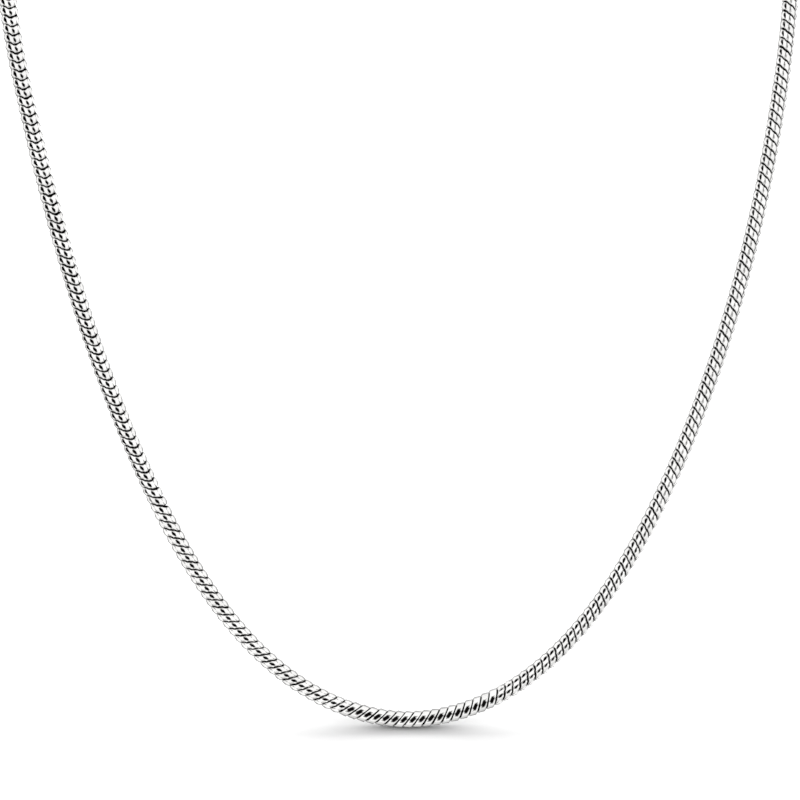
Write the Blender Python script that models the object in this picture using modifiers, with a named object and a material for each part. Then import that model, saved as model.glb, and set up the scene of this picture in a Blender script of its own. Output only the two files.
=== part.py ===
"""Snake chain necklace, in the form that it takes round a neck.

Two runs of nested wavy links meet at the lowest point of the drop. Each ends in a cap with a
soldered eye, and a jump ring on each eye carries one end of a closed clasp at the nape.
Metres, +Z up, -Y to the front, with the origin in the middle of the neck.
"""
import math

import bmesh
import bpy
import numpy as np
from mathutils import Matrix, Vector

MM = 0.001

# Chain
CHAIN_DIAMETER = 2.4 * MM
LINK_PITCH = 1.31 * MM
LINK_GROOVE = 0.17 * MM
LINK_WAVE = 1.3 * MM
WAVES_ROUND = 2
WAVE_TURN = math.radians(12.0)
CHAIN_SIDES = 10

# Clearance between two pieces that touch on the real necklace
SEAT_GAP = 0.3 * MM

# End caps, with the eye soldered on their closed end
CAP_CLEARANCE = 0.25 * MM
CAP_WALL = 0.35 * MM
CAP_LENGTH = 6.0 * MM
CAP_END = 0.8 * MM
CAP_ROUNDING = 0.35 * MM
CAP_SIDES = 16
EYE_HOLE = 2.0 * MM
EYE_WIRE = 0.9 * MM
EYE_SINK = 0.35 * MM

# Jump rings
RING_HOLE = 3.6 * MM
RING_WIRE = 0.8 * MM
RING_SIDES = 20
WIRE_SIDES = 6

# Clasp, a flat closed hook with a hole for a ring in each end
CLASP_LENGTH = 11.0 * MM
CLASP_THICKNESS = 1.2 * MM
CLASP_ROUNDING = 0.2 * MM
HOOK_HOLE = 3.0 * MM
HOOK_WALL = 1.0 * MM
TAIL_HOLE = 1.9 * MM
TAIL_WALL = 0.7 * MM
HOLE_SIDES = 16

# The front drop hangs in one plane, which leans back from the chest's lowest point
DROP_LEAN = math.radians(30.0)
# The middle of the neck, above and behind the lowest point of the drop
NECK_HEIGHT = 88.5 * MM
NECK_DEPTH = 54.0 * MM

# Chosen points of the chain's centre line in mm, from the lowest point round by the wearer's left:
# across, up the plane of the drop, behind that plane
ROUTE = [
    (0.0, 0.0, 0.0),
    (15.5, 5.0, 0.0),
    (27.2, 16.5, 0.0),
    (37.0, 33.6, 0.0),
    (43.8, 50.8, 0.0),
    (48.8, 67.9, 0.0),
    (52.3, 85.0, 0.0),
    (54.5, 102.2, 0.3),
    (54.8, 117.5, 3.8),
    (51.5, 132.4, 11.2),
    (42.0, 145.2, 21.5),
    (23.8, 155.0, 31.7),
    (-1.0, 158.2, 35.6),
    (-25.8, 155.0, 31.7),
    (-44.0, 145.2, 21.5),
    (-54.0, 132.4, 11.2),
    (-57.7, 117.5, 3.8),
    (-57.2, 102.2, 0.3),
    (-53.9, 85.0, 0.0),
    (-49.5, 67.9, 0.0),
    (-44.0, 50.8, 0.0),
    (-37.0, 33.6, 0.0),
    (-27.2, 16.5, 0.0),
    (-15.5, 5.0, 0.0),
]
STEPS_PER_SPAN = 40

SILVER = (0.93, 0.92, 0.90, 1.0)
SILVER_ROUGHNESS = 0.14
MERGE_DISTANCE = 0.01 * MM


def clear_scene():
    for item in list(bpy.data.objects):
        bpy.data.objects.remove(item, do_unlink=True)


def new_collection(name):
    collection = bpy.data.collections.new(name)
    bpy.context.scene.collection.children.link(collection)
    return collection


def silver(name):
    material = bpy.data.materials.new(name)
    material.use_nodes = True
    shader = material.node_tree.nodes["Principled BSDF"]
    shader.inputs["Base Color"].default_value = SILVER
    shader.inputs["Metallic"].default_value = 1.0
    shader.inputs["Roughness"].default_value = SILVER_ROUGHNESS
    return material


# Route

def route_points():
    """The chosen points as world positions."""
    up_drop = np.array([0.0, math.sin(DROP_LEAN), math.cos(DROP_LEAN)])
    behind = np.array([0.0, math.cos(DROP_LEAN), -math.sin(DROP_LEAN)])
    lowest = np.array([0.0, -NECK_DEPTH, -NECK_HEIGHT])
    rows = np.array(ROUTE) * MM
    across = np.array([1.0, 0.0, 0.0])
    return lowest + rows[:, :1] * across + rows[:, 1:2] * up_drop + rows[:, 2:] * behind


def closed_spline(points):
    """Positions along the closed cubic spline through the points, evenly many for each span."""
    count = len(points)
    span = np.linalg.norm(np.roll(points, -1, axis=0) - points, axis=1)
    system = np.zeros((count, count))
    change = np.zeros((count, 3))
    for i in range(count):
        after = (i + 1) % count
        system[i, i - 1] = span[i - 1]
        system[i, i] = 2.0 * (span[i - 1] + span[i])
        system[i, after] = span[i]
        slope_after = (points[after] - points[i]) / span[i]
        slope_before = (points[i] - points[i - 1]) / span[i - 1]
        change[i] = 6.0 * (slope_after - slope_before)
    bend = np.linalg.solve(system, change)
    positions = []
    for i in range(count):
        after = (i + 1) % count
        for step in range(STEPS_PER_SPAN):
            done = span[i] * step / STEPS_PER_SPAN
            left = span[i] - done
            curved = (bend[i] * left ** 3 + bend[after] * done ** 3) / (6.0 * span[i])
            start = (points[i] / span[i] - bend[i] * span[i] / 6.0) * left
            end = (points[after] / span[i] - bend[after] * span[i] / 6.0) * done
            positions.append(curved + start + end)
    return np.array(positions)


class Route:
    """The chain's centre line, read by distance from the lowest point, positive to +X."""

    def __init__(self):
        loop = closed_spline(route_points())
        steps = np.linalg.norm(np.roll(loop, -1, axis=0) - loop, axis=1)
        self.length = float(steps.sum())
        once = np.concatenate([[0.0], np.cumsum(steps)])
        self.distance = np.concatenate([once[:-1] - self.length, once])
        self.positions = np.vstack([loop, loop, loop[:1]])
        tangents = np.gradient(self.positions, self.distance, axis=0)
        self.tangents = tangents / np.linalg.norm(tangents, axis=1)[:, None]
        self.fronts = self.carried_fronts(len(loop))

    def carried_fronts(self, lowest):
        """The side that faces the viewer, carried along the line both ways without a twist."""
        fronts = np.zeros_like(self.positions)
        fronts[lowest] = (0.0, -math.cos(DROP_LEAN), math.sin(DROP_LEAN))
        order = [(i, i - 1) for i in range(lowest + 1, len(fronts))]
        order += [(i, i + 1) for i in range(lowest - 1, -1, -1)]
        for here, before in order:
            tangent = self.tangents[here]
            front = fronts[before] - tangent * np.dot(fronts[before], tangent)
            fronts[here] = front / np.linalg.norm(front)
        return fronts

    def read(self, table, distance):
        return np.array([np.interp(distance, self.distance, table[:, k]) for k in range(3)])

    def station(self, distance):
        """Centre, tangent, front and inner side of the line at a distance."""
        centre = self.read(self.positions, distance)
        tangent = self.read(self.tangents, distance)
        tangent /= np.linalg.norm(tangent)
        front = self.read(self.fronts, distance)
        front -= tangent * np.dot(front, tangent)
        front /= np.linalg.norm(front)
        return centre, tangent, front, np.cross(front, tangent)

    def frame(self, distance, way):
        """Matrix at a distance: Z along the line the way given, X out from the neck."""
        centre, tangent, _, _ = self.station(distance)
        along = Vector(tangent) * way
        outward = Vector(tangent).cross(Vector((0.0, 0.0, 1.0))).normalized()
        across = along.cross(outward)
        turn = Matrix((outward, across, along)).transposed().to_4x4()
        return Matrix.Translation(Vector(centre)) @ turn


# Chain

def link_wave(angle):
    """How far a link's edge runs ahead at an angle round the chain: a zigzag of straight flanks."""
    return LINK_WAVE / math.pi * math.asin(math.sin(WAVES_ROUND * (angle - WAVE_TURN)))


def link_ring(mesh, route, distance, radius):
    centre, tangent, front, inner = route.station(distance)
    ring = []
    for side in range(CHAIN_SIDES):
        angle = 2.0 * math.pi * side / CHAIN_SIDES
        outward = front * math.cos(angle) + inner * math.sin(angle)
        ring.append(mesh.verts.new(centre + outward * radius + tangent * link_wave(angle)))
    return ring


def close_end(mesh, route, distance, ring, outward_first):
    """A fan from the ring to its centre, with its faces pointing away from the chain."""
    middle = mesh.verts.new(route.station(distance)[0])
    for side in range(CHAIN_SIDES):
        pair = (ring[side], ring[(side + 1) % CHAIN_SIDES])
        if outward_first:
            pair = pair[::-1]
        mesh.faces.new((middle, *pair))


def chain_run(name, route, start, end, collection):
    """Fused links from one distance to another: a groove, a ridge and a groove for each.

    No modifier makes a tube whose ridges run in waves round it, so its rings are lofted here.
    """
    ridge = CHAIN_DIAMETER / 2.0
    groove = ridge - LINK_GROOVE
    links = max(1, round((end - start) / LINK_PITCH))
    half_pitch = (end - start) / links / 2.0
    mesh = bmesh.new()
    rings = []
    for i in range(2 * links + 1):
        radius = ridge if i % 2 else groove
        rings.append(link_ring(mesh, route, start + i * half_pitch, radius))
    for first, second in zip(rings, rings[1:]):
        for side in range(CHAIN_SIDES):
            after = (side + 1) % CHAIN_SIDES
            mesh.faces.new((first[side], first[after], second[after], second[side]))
    close_end(mesh, route, start, rings[0], True)
    close_end(mesh, route, end, rings[-1], False)
    bmesh.ops.recalc_face_normals(mesh, faces=mesh.faces)
    return finish_mesh(name, mesh, collection)


def finish_mesh(name, mesh, collection):
    data = bpy.data.meshes.new(name)
    mesh.to_mesh(data)
    mesh.free()
    data.shade_smooth()
    data.materials.append(silver(name))
    item = bpy.data.objects.new(name, data)
    collection.objects.link(item)
    return item


# End caps and jump rings

def torus(name, hole, wire, sides, collection):
    """A closed ring of round wire, its hole along the local Z axis."""
    bpy.ops.mesh.primitive_torus_add(
        major_radius=(hole + wire) / 2.0, minor_radius=wire / 2.0,
        major_segments=sides, minor_segments=WIRE_SIDES)
    item = bpy.context.object
    item.name = name
    for held in list(item.users_collection):
        held.objects.unlink(item)
    collection.objects.link(item)
    item.data.name = name
    item.data.shade_smooth()
    item.data.materials.append(silver(name))
    return item


def turned_cup(name, outer, bore, collection):
    """The cap's sleeve: a turned cup, open at the mouth at z = 0."""
    floor = CAP_LENGTH - CAP_END
    profile = [
        (0.0, CAP_LENGTH),
        (outer - CAP_ROUNDING, CAP_LENGTH),
        (outer, CAP_LENGTH - CAP_ROUNDING),
        (outer, 0.0),
        (bore, 0.0),
        (bore, floor),
        (0.0, floor),
    ]
    mesh = bmesh.new()
    corners = [mesh.verts.new((x, 0.0, z)) for x, z in profile]
    for first, second in zip(corners, corners[1:]):
        mesh.edges.new((first, second))
    item = finish_mesh(name, mesh, collection)
    screw = item.modifiers.new("turn", "SCREW")
    screw.steps = CAP_SIDES
    screw.render_steps = CAP_SIDES
    screw.use_merge_vertices = True
    screw.merge_threshold = MERGE_DISTANCE
    weld = item.modifiers.new("close the axis", "WELD")
    weld.merge_threshold = MERGE_DISTANCE
    return item


def end_cap(name, place, collection, cutters):
    """A cup over the chain's end, with an eye soldered on its closed end."""
    bore = CHAIN_DIAMETER / 2.0 + CAP_CLEARANCE
    cap = turned_cup(name, bore + CAP_WALL, bore, collection)
    cap.matrix_world = place
    eye = torus(name + "_eye", EYE_HOLE, EYE_WIRE, CAP_SIDES, cutters)
    eye.hide_render = True
    eye.display_type = "WIRE"
    seat = Matrix.Translation((0.0, 0.0, CAP_LENGTH + eye_height()))
    eye.matrix_world = place @ seat @ Matrix.Rotation(math.pi / 2.0, 4, "Y")
    solder = cap.modifiers.new("solder the eye", "BOOLEAN")
    solder.operation = "UNION"
    solder.object = eye
    return cap


def eye_height():
    """From the cap's closed end to the middle of its eye."""
    return EYE_HOLE / 2.0 + EYE_WIRE - EYE_SINK


def ring_reach(hole):
    """From the middle of a hole to the middle of a jump ring that is drawn through it."""
    return (hole - RING_WIRE) / 2.0 - SEAT_GAP + (RING_HOLE + RING_WIRE) / 2.0


def jump_ring(name, place, collection):
    ring = torus(name, RING_HOLE, RING_WIRE, RING_SIDES, collection)
    ring.matrix_world = place @ Matrix.Rotation(math.pi / 2.0, 4, "X")
    return ring


# Clasp

def add_outline(curve, points):
    spline = curve.splines.new("POLY")
    spline.points.add(len(points) - 1)
    for corner, (along, across) in zip(spline.points, points):
        corner.co = (along, across, 0.0, 1.0)
    spline.use_cyclic_u = True


def arc(middle, radius, first, last, steps):
    angles = [first + (last - first) * i / steps for i in range(steps + 1)]
    return [(middle + radius * math.cos(a), radius * math.sin(a)) for a in angles]


def clasp_piece(name, place, collection):
    """The closed clasp, its hook end at +Z and its tail at -Z."""
    hook = hook_middle()
    tail = -tail_middle()
    hook_radius = HOOK_HOLE / 2.0 + HOOK_WALL
    tail_radius = TAIL_HOLE / 2.0 + TAIL_WALL
    flank = math.acos((hook_radius - tail_radius) / (hook - tail))
    half = HOLE_SIDES // 2
    outline = arc(hook, hook_radius - CLASP_ROUNDING, -flank, flank, half)
    outline += arc(tail, tail_radius - CLASP_ROUNDING, flank, 2.0 * math.pi - flank, half)
    curve = bpy.data.curves.new(name, "CURVE")
    curve.dimensions = "2D"
    curve.fill_mode = "BOTH"
    curve.extrude = CLASP_THICKNESS / 2.0 - CLASP_ROUNDING
    curve.bevel_depth = CLASP_ROUNDING
    curve.bevel_resolution = 0
    add_outline(curve, outline)
    for middle, hole in ((hook, HOOK_HOLE), (tail, TAIL_HOLE)):
        full = arc(middle, hole / 2.0 + CLASP_ROUNDING, 0.0, 2.0 * math.pi, HOLE_SIDES)
        add_outline(curve, full[:-1])
    curve.materials.append(silver(name))
    item = bpy.data.objects.new(name, curve)
    collection.objects.link(item)
    lie_along = Matrix(((0.0, 0.0, 1.0), (0.0, -1.0, 0.0), (1.0, 0.0, 0.0))).to_4x4()
    item.matrix_world = place @ lie_along
    return item


def hook_middle():
    """From the clasp's middle to the middle of the hole in its hook."""
    return CLASP_LENGTH / 2.0 - HOOK_WALL - HOOK_HOLE / 2.0


def tail_middle():
    """From the clasp's middle to the middle of the hole in its tail."""
    return CLASP_LENGTH / 2.0 - TAIL_WALL - TAIL_HOLE / 2.0


def fastening_side(side, way, clasp_reach, clasp_hole, route, parts, cutters):
    """Ring, cap and chain run on one side; way is 1 where distance grows towards the clasp."""
    nape = route.length / 2.0
    ring_at = clasp_reach + ring_reach(clasp_hole)
    eye_at = ring_at + ring_reach(EYE_HOLE)
    mouth_at = eye_at + eye_height() + CAP_LENGTH
    jump_ring("jump_ring_" + side, route.frame(way * (nape - ring_at), way), parts)
    end_cap("end_cap_" + side, route.frame(way * (nape - mouth_at), way), parts, cutters)
    inside = CAP_LENGTH - CAP_END - SEAT_GAP - LINK_WAVE / 2.0
    ends = sorted((way * SEAT_GAP / 2.0, way * (nape - mouth_at + inside)))
    chain_run("snake_chain_" + side, route, ends[0], ends[1], parts)


def main():
    clear_scene()
    parts = new_collection("snake_chain")
    cutters = new_collection("cutters")
    route = Route()
    fastening_side("right", 1.0, tail_middle(), TAIL_HOLE, route, parts, cutters)
    fastening_side("left", -1.0, hook_middle(), HOOK_HOLE, route, parts, cutters)
    clasp_piece("clasp", route.frame(route.length / 2.0, 1.0), parts)


main()
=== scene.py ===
"""Snake chain necklace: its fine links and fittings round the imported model, and a plain studio.

Laid out as an add-on and run as a script. Geometry Nodes set one link after another along the
chain's centre line. The caps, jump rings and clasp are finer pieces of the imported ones' form.
Metres, +Z up, -Y to the front, with the origin at the mount in the loop.
"""
import math

import bmesh
import bpy
import numpy as np
from bpy.props import (
    FloatProperty,
    FloatVectorProperty,
    IntProperty,
    PointerProperty,
)
from mathutils import Matrix, Vector


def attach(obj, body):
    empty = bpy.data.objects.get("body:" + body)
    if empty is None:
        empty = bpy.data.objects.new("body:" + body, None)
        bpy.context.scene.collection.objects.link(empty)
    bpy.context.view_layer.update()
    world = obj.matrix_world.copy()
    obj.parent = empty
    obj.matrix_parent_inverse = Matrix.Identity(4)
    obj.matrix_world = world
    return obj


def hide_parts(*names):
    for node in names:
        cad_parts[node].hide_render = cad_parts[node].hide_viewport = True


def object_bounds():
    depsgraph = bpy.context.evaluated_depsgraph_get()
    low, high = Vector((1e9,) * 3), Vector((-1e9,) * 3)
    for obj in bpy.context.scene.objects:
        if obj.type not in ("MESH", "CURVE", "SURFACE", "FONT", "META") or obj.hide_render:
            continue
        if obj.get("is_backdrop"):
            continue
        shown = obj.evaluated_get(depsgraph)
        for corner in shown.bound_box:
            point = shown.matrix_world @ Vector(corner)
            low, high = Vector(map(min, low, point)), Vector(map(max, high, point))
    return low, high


bl_info = {
    "name": "Snake Chain Necklace",
    "version": (1, 0, 0),
    "blender": (4, 5, 0),
    "location": "View3D > Sidebar > Snake Chain",
    "description": "Builds a round snake chain necklace with its caps, jump rings and clasp",
    "category": "Add Mesh",
}

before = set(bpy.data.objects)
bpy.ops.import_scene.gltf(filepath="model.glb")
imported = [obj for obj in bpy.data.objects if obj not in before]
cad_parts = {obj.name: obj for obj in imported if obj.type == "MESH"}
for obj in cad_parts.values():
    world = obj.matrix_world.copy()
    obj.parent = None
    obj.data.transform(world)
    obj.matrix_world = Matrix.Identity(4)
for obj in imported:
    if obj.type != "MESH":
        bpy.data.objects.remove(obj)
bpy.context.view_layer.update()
BODY = "root"
SIDES = ("right", "left")

MM = 0.001

# The front drop hangs in one plane, which leans back from its lowest point
DROP_LEAN = math.radians(30.0)
# The mount in the loop, above and behind the lowest point of the drop
MOUNT_HEIGHT = 88.5 * MM
MOUNT_DEPTH = 54.0 * MM

# Chosen points of the chain's centre line in mm, from the lowest point round by the right run:
# across, up the plane of the drop, behind that plane
ROUTE = [
    (0.0, 0.0, 0.0),
    (15.5, 5.0, 0.0),
    (27.2, 16.5, 0.0),
    (37.0, 33.6, 0.0),
    (43.8, 50.8, 0.0),
    (48.8, 67.9, 0.0),
    (52.3, 85.0, 0.0),
    (54.5, 102.2, 0.3),
    (54.8, 117.5, 3.8),
    (51.5, 132.4, 11.2),
    (42.0, 145.2, 21.5),
    (23.8, 155.0, 31.7),
    (-1.0, 158.2, 35.6),
    (-25.8, 155.0, 31.7),
    (-44.0, 145.2, 21.5),
    (-54.0, 132.4, 11.2),
    (-57.7, 117.5, 3.8),
    (-57.2, 102.2, 0.3),
    (-53.9, 85.0, 0.0),
    (-49.5, 67.9, 0.0),
    (-44.0, 50.8, 0.0),
    (-37.0, 33.6, 0.0),
    (-27.2, 16.5, 0.0),
    (-15.5, 5.0, 0.0),
]
STEPS_PER_SPAN = 40

# The photograph: its size, scale on the drop's plane, and where the lowest point lies in it
PHOTO_SIZE = 800.0
PIXELS_PER_MM = 7.0
LOWEST_PIXEL = (408.3, 719.3)


# Sizes and finishes that a user would change

class SnakeChainLinks(bpy.types.PropertyGroup):
    """Sizes of the chain's links.

    Several values of one size hold one after another from the chain's left end to its right one,
    and CHANGES says where each gives way to the next.
    """
    diameter: FloatProperty(
        name="Chain Diameter", description="Across the chain, over its links",
        default=2.4 * MM, min=0.5 * MM, unit="LENGTH", precision=5)
    pitch: FloatProperty(
        name="Pitch", description="From one link to the next",
        default=1.3 * MM, min=0.3 * MM, unit="LENGTH", precision=5)
    gap: FloatProperty(
        name="Gap", description="Between two neighbouring links at the front and back",
        default=0.134 * MM, min=0.02 * MM, unit="LENGTH", precision=5)
    side_gap: FloatProperty(
        name="Side Gap", description="Between two links at their sides, where they nest",
        default=0.03 * MM, min=0.0, unit="LENGTH", precision=5)
    edge_drop: FloatProperty(
        name="Edge Drop", description="How far a plate's edges lie under its crown",
        default=0.19 * MM, min=0.0, unit="LENGTH", precision=5)
    slot_width: FloatProperty(
        name="Slot Width", description="Angle across the opening between two plates",
        default=math.radians(26.0), min=0.0, subtype="ANGLE")
    slot_depth: FloatProperty(
        name="Slot Depth", description="How far the openings between the plates are sunk",
        default=0.4 * MM, min=0.0, unit="LENGTH", precision=5)
    spread: FloatVectorProperty(
        name="Spread", description="Width of the links as a share of the chain's",
        default=(1.1, 1.01), min=0.8, max=1.2, size=2)
    wave: FloatVectorProperty(
        name="Wave", description="How far a link's inner side is ahead of its outer side",
        default=(1.43 * MM, 1.15 * MM), min=0.0, unit="LENGTH", precision=5, size=2)
    hook: FloatVectorProperty(
        name="Hook", description="How far the wave turns back at the inner side, as a share of it",
        default=(0.89, 0.62, 0.0), min=0.0, max=1.0, size=3)
    hook_from: FloatVectorProperty(
        name="Hook From", description="Sine of the angle from the front where the hook starts",
        default=(-0.12, 0.38), min=-0.8, max=0.8, size=2)
    turn: FloatVectorProperty(
        name="Turn", description="Where the front slots face, from the front towards the inside",
        default=[math.radians(degrees) for degrees in (15.0, 1.5, -14.0, -7.0)],
        unit="ROTATION", size=4)
    # The next three set how much painted shade the slots take on each side of the loop, as the
    # light falls on them
    front_slots: FloatVectorProperty(
        name="Front Slots", description="How dark the front slots are",
        default=(0.6, 0.85, 0.5, 0.25), min=0.0, soft_max=2.0, size=4)
    inner_slots: FloatVectorProperty(
        name="Inner Slots", description="How dark the slots on the loop's inner side are",
        default=(0.1, 0.85, 0.75), min=0.0, soft_max=2.0, size=3)
    outer_slots: FloatVectorProperty(
        name="Outer Slots", description="How dark the slots on the loop's outer side are",
        default=(1.8, 0.12, 0.5), min=0.0, soft_max=2.0, size=3)
    opened_from: FloatProperty(
        name="Opened From", description="Where the links start to stand open in the bend",
        default=-9.5 * MM, unit="LENGTH", precision=4)
    opened_to: FloatProperty(
        name="Opened To", description="Where the links stop to stand open",
        default=13.5 * MM, unit="LENGTH", precision=4)
    looseness: FloatProperty(
        name="Looseness", description="How far a link may sit askew",
        default=math.radians(1.6), min=0.0, subtype="ANGLE")
    seed: IntProperty(
        name="Seed", description="Picks the links' small differences", default=7, min=0)


class SnakeChainFittings(bpy.types.PropertyGroup):
    """Sizes of the caps, jump rings and clasp."""
    clearance: FloatProperty(
        name="Cap Clearance", description="Between the chain and the cap's bore",
        default=0.25 * MM, min=0.0, unit="LENGTH", precision=5)
    cap_wall: FloatProperty(
        name="Cap Wall", description="Thickness of the cap's sleeve",
        default=0.35 * MM, min=0.1 * MM, unit="LENGTH", precision=5)
    cap_length: FloatProperty(
        name="Cap Length", description="From the cap's mouth to its closed end",
        default=6.0 * MM, min=1.0 * MM, unit="LENGTH", precision=5)
    cap_end: FloatProperty(
        name="Cap End", description="Thickness of the cap's closed end",
        default=0.8 * MM, min=0.1 * MM, unit="LENGTH", precision=5)
    eye_hole: FloatProperty(
        name="Eye Hole", description="Across the hole of the soldered eye",
        default=2.0 * MM, min=0.3 * MM, unit="LENGTH", precision=5)
    eye_wire: FloatProperty(
        name="Eye Wire", description="Thickness of the eye's wire",
        default=0.9 * MM, min=0.1 * MM, unit="LENGTH", precision=5)
    eye_sink: FloatProperty(
        name="Eye Sink", description="How deep the eye's wire sits in the cap's end",
        default=0.35 * MM, min=0.0, unit="LENGTH", precision=5)
    ring_hole: FloatProperty(
        name="Jump Ring Hole", description="Across the hole of a jump ring",
        default=3.6 * MM, min=0.5 * MM, unit="LENGTH", precision=5)
    ring_wire: FloatProperty(
        name="Jump Ring Wire", description="Thickness of a jump ring's wire",
        default=0.8 * MM, min=0.1 * MM, unit="LENGTH", precision=5)
    clasp_length: FloatProperty(
        name="Clasp Length", description="Over the whole clasp",
        default=11.0 * MM, min=4.0 * MM, unit="LENGTH", precision=5)
    clasp_thickness: FloatProperty(
        name="Clasp Thickness", description="Through the flat clasp",
        default=1.2 * MM, min=0.4 * MM, unit="LENGTH", precision=5)
    hook_hole: FloatProperty(
        name="Hook Hole", description="Across the hole in the clasp's hook",
        default=3.0 * MM, min=0.5 * MM, unit="LENGTH", precision=5)
    hook_wall: FloatProperty(
        name="Hook Wall", description="Metal round the hook's hole",
        default=1.0 * MM, min=0.2 * MM, unit="LENGTH", precision=5)
    tail_hole: FloatProperty(
        name="Tail Hole", description="Across the hole in the clasp's tail",
        default=1.9 * MM, min=0.5 * MM, unit="LENGTH", precision=5)
    tail_wall: FloatProperty(
        name="Tail Wall", description="Metal round the tail's hole",
        default=0.7 * MM, min=0.2 * MM, unit="LENGTH", precision=5)
    seat_gap: FloatProperty(
        name="Seat Gap", description="Clearance between two fittings that hang in each other",
        default=0.3 * MM, min=0.0, unit="LENGTH", precision=5)


class SnakeChainFinish(bpy.types.PropertyGroup):
    """Colours and polish of the metal."""
    silver: FloatVectorProperty(
        name="Silver", description="Colour of the polished metal",
        default=(0.955, 0.95, 0.94), min=0.0, max=1.0, size=3, subtype="COLOR")
    fitting_silver: FloatVectorProperty(
        name="Fitting Silver", description="Colour of the caps, rings and clasp",
        default=(0.84, 0.835, 0.825), min=0.0, max=1.0, size=3, subtype="COLOR")
    # Painted shade: a near-black colour put in the links' gaps, slots and pockets and in the
    # fittings' seams, grooves and bore, where shade falls
    tarnish: FloatVectorProperty(
        name="Tarnish", description="Colour of the darkened gaps and openings",
        default=(0.0032, 0.003, 0.003), min=0.0, max=1.0, size=3, subtype="COLOR")
    link_polish: FloatProperty(
        name="Link Roughness", description="Roughness of the links' polished faces",
        default=0.17, min=0.0, max=1.0, subtype="FACTOR")
    fitting_polish: FloatProperty(
        name="Fitting Roughness", description="Roughness of the caps, rings and clasp",
        default=0.12, min=0.0, max=1.0, subtype="FACTOR")


class SnakeChainStudio(bpy.types.PropertyGroup):
    """The floor, the lights and the camera."""
    camera_distance: FloatProperty(
        name="Camera Distance", description="From the camera to the middle of the view",
        default=0.55, min=0.1, unit="LENGTH")
    floor_size: FloatProperty(
        name="Floor Size", description="Side of the square floor",
        default=6.0, min=0.5, unit="LENGTH")
    floor_colour: FloatVectorProperty(
        name="Floor", description="Colour of the plain floor",
        default=(0.9, 0.9, 0.9), min=0.0, max=1.0, size=3, subtype="COLOR")
    room_light: FloatProperty(
        name="Room Light", description="Strength of the soft light from all round on the floor",
        default=1.0, min=0.0)
    softbox_power: FloatProperty(
        name="Softbox Power", description="Power of the softbox above and behind the chain",
        default=6.2, min=0.0, unit="POWER")
    mirrored_light: FloatProperty(
        name="Mirrored Light", description="Level of the surroundings that the metal mirrors",
        default=1.05, min=0.0)
    mirrored_floor: FloatProperty(
        name="Mirrored Floor", description="Level straight below, as a share of the surroundings",
        default=0.7, min=0.0)
    mirrored_grey: FloatProperty(
        name="Mirrored Grey", description="Level behind the chain, which the links' rims mirror",
        default=0.36, min=0.0)


# Node helpers

def node(tree, kind, inputs=None, **settings):
    """A new node with its settings, and each input linked or set."""
    made = tree.nodes.new(kind)
    for name, value in settings.items():
        setattr(made, name, value)
    for key, value in (inputs or {}).items():
        if isinstance(value, bpy.types.NodeSocket):
            tree.links.new(value, made.inputs[key])
        else:
            made.inputs[key].default_value = value
    return made


def math_node(tree, operation, *values):
    made = node(tree, "ShaderNodeMath", dict(enumerate(values)), operation=operation)
    return made.outputs[0]


def scaled(tree, vector, factor):
    made = node(tree, "ShaderNodeVectorMath", {0: vector, "Scale": factor}, operation="SCALE")
    return made.outputs["Vector"]


def ranged(tree, value, start, end, low=0.0, high=1.0, smooth=False):
    """Runs from low to high while the value runs from start to end, and is level outside."""
    made = node(tree, "ShaderNodeMapRange", {
        "Value": value, "From Min": start, "From Max": end, "To Min": low, "To Max": high},
        interpolation_type="SMOOTHSTEP" if smooth else "LINEAR")
    return made.outputs["Result"]


def noise(tree, place, scale, detail, roughness=0.5):
    made = node(tree, "ShaderNodeTexNoise", {
        "Vector": place, "Scale": scale, "Detail": detail, "Roughness": roughness})
    return made.outputs["Fac"]


def group_sockets(tree, inputs, outputs):
    """Named sockets of a node group: (name, kind, default, description)."""
    for name, kind, default, description in inputs:
        socket = tree.interface.new_socket(name, in_out="INPUT", socket_type=kind)
        socket.description = description
        if default is not None:
            socket.default_value = default
    for name, kind in outputs:
        tree.interface.new_socket(name, in_out="OUTPUT", socket_type=kind)


def set_out(tree, column=220.0, row=190.0, per_row=7):
    """Lays a tree's nodes out in rows, in the order in which they were made."""
    for i, made in enumerate(tree.nodes):
        made.location = (column * (i % per_row), -row * (i // per_row))


# Route

def route_points():
    """The chosen points as world positions."""
    up_drop = np.array([0.0, math.sin(DROP_LEAN), math.cos(DROP_LEAN)])
    behind = np.array([0.0, math.cos(DROP_LEAN), -math.sin(DROP_LEAN)])
    lowest = np.array([0.0, -MOUNT_DEPTH, -MOUNT_HEIGHT])
    rows = np.array(ROUTE) * MM
    across = np.array([1.0, 0.0, 0.0])
    return lowest + rows[:, :1] * across + rows[:, 1:2] * up_drop + rows[:, 2:] * behind


def closed_spline(points):
    """Positions along the closed cubic spline through the points, evenly many for each span."""
    count = len(points)
    span = np.linalg.norm(np.roll(points, -1, axis=0) - points, axis=1)
    system = np.zeros((count, count))
    change = np.zeros((count, 3))
    for i in range(count):
        after = (i + 1) % count
        system[i, i - 1] = span[i - 1]
        system[i, i] = 2.0 * (span[i - 1] + span[i])
        system[i, after] = span[i]
        slope_after = (points[after] - points[i]) / span[i]
        slope_before = (points[i] - points[i - 1]) / span[i - 1]
        change[i] = 6.0 * (slope_after - slope_before)
    bend = np.linalg.solve(system, change)
    positions = []
    for i in range(count):
        after = (i + 1) % count
        for step in range(STEPS_PER_SPAN):
            done = span[i] * step / STEPS_PER_SPAN
            left = span[i] - done
            curved = (bend[i] * left ** 3 + bend[after] * done ** 3) / (6.0 * span[i])
            start = (points[i] / span[i] - bend[i] * span[i] / 6.0) * left
            end = (points[after] / span[i] - bend[after] * span[i] / 6.0) * done
            positions.append(curved + start + end)
    return np.array(positions)


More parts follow.
